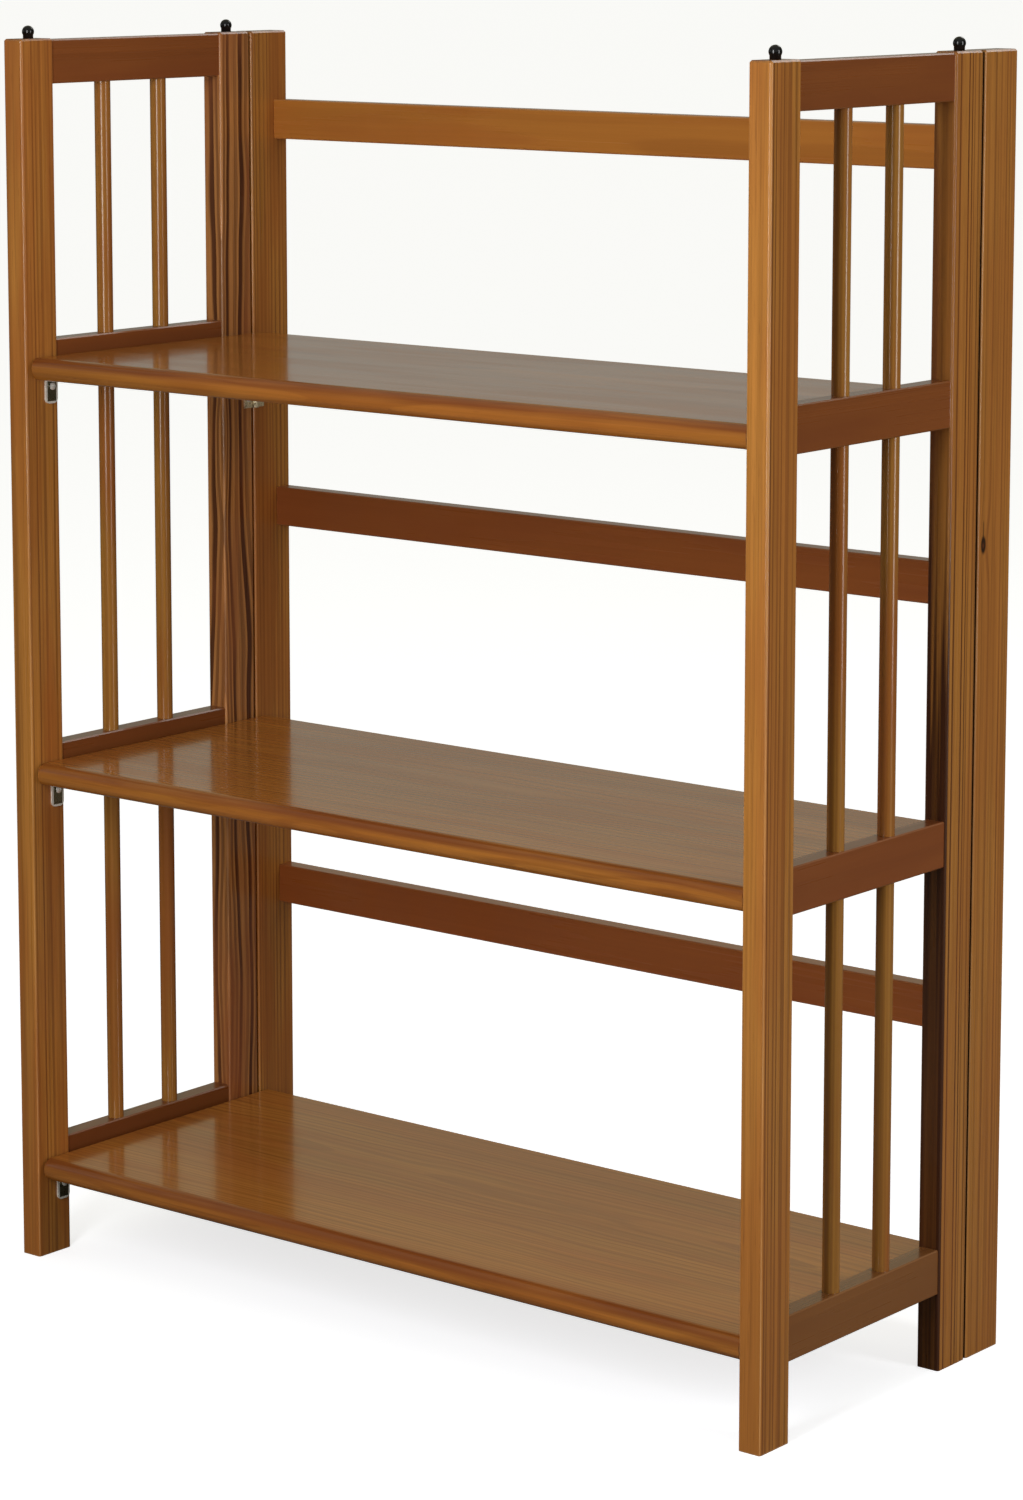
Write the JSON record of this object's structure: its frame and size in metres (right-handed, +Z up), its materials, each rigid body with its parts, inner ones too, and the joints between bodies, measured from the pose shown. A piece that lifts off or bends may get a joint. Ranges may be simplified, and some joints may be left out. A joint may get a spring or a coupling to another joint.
{
  "type": "folding bookcase",
  "caption": "Free-standing folding wooden bookcase: spindled side frames hinged to a railed back frame, with lift-up shelves on angle rests and stacking pins on top",
  "frame": {"origin": "on the floor, under the middle of the bookcase's bounding box", "axes": "+X to the right seen from the front, +Y from the front to the back, +Z up"},
  "size_m": [0.724, 0.304, 0.975],
  "materials": {
    "frame_wood": "gloss lacquer",
    "shelf_wood": "gloss lacquer",
    "bracket_metal": "plated",
    "hinge_metal": "plated",
    "pivot_metal": "plain",
    "pin_black": "gloss"
  },
  "bodies": {
    "frame": {"left_front_stile": "frame_wood", "left_rear_stile": "frame_wood", "left_back_stile": "frame_wood", "left_top_rail": "frame_wood", "left_upper_middle_rail": "frame_wood", "left_lower_middle_rail": "frame_wood", "left_bottom_rail": "frame_wood", "left_front_spindle": "frame_wood", "left_rear_spindle": "frame_wood", "right_front_stile": "frame_wood", "right_rear_stile": "frame_wood", "right_back_stile": "frame_wood", "right_top_rail": "frame_wood", "right_upper_middle_rail": "frame_wood", "right_lower_middle_rail": "frame_wood", "right_bottom_rail": "frame_wood", "right_front_spindle": "frame_wood", "right_rear_spindle": "frame_wood", "back_top_rail": "frame_wood", "back_middle_rail": "frame_wood", "back_bottom_rail": "frame_wood", "top_shelf_left_rest": "bracket_metal", "top_shelf_right_rest": "bracket_metal", "middle_shelf_left_rest": "bracket_metal", "middle_shelf_right_rest": "bracket_metal", "bottom_shelf_left_rest": "bracket_metal", "bottom_shelf_right_rest": "bracket_metal", "left_top_hinge_side_leaf": "hinge_metal", "left_top_hinge_back_leaf": "hinge_metal", "left_bottom_hinge_side_leaf": "hinge_metal", "left_bottom_hinge_back_leaf": "hinge_metal", "right_top_hinge_side_leaf": "hinge_metal", "right_top_hinge_back_leaf": "hinge_metal", "right_bottom_hinge_side_leaf": "hinge_metal", "right_bottom_hinge_back_leaf": "hinge_metal", "stacking_pins": "pin_black"},
    "top_shelf": {"top_shelf": "shelf_wood", "top_shelf_left_pivot": "pivot_metal", "top_shelf_right_pivot": "pivot_metal"},
    "middle_shelf": {"middle_shelf": "shelf_wood", "middle_shelf_left_pivot": "pivot_metal", "middle_shelf_right_pivot": "pivot_metal"},
    "bottom_shelf": {"bottom_shelf": "shelf_wood", "bottom_shelf_left_pivot": "pivot_metal", "bottom_shelf_right_pivot": "pivot_metal"}
  },
  "joints": [
    {"name": "top_shelf_lift", "type": "hinge", "parent": "frame", "child": "top_shelf", "pos_m": [0, 0.117, 0.71075], "axis": [-1, 0, 0], "range_deg": [0, 92.8]},
    {"name": "middle_shelf_lift", "type": "hinge", "parent": "frame", "child": "middle_shelf", "pos_m": [0, 0.117, 0.39075], "axis": [-1, 0, 0], "range_deg": [0, 92.8]},
    {"name": "bottom_shelf_lift", "type": "hinge", "parent": "frame", "child": "bottom_shelf", "pos_m": [0, 0.117, 0.07075], "axis": [-1, 0, 0], "range_deg": [0, 92.8]}
  ]
}
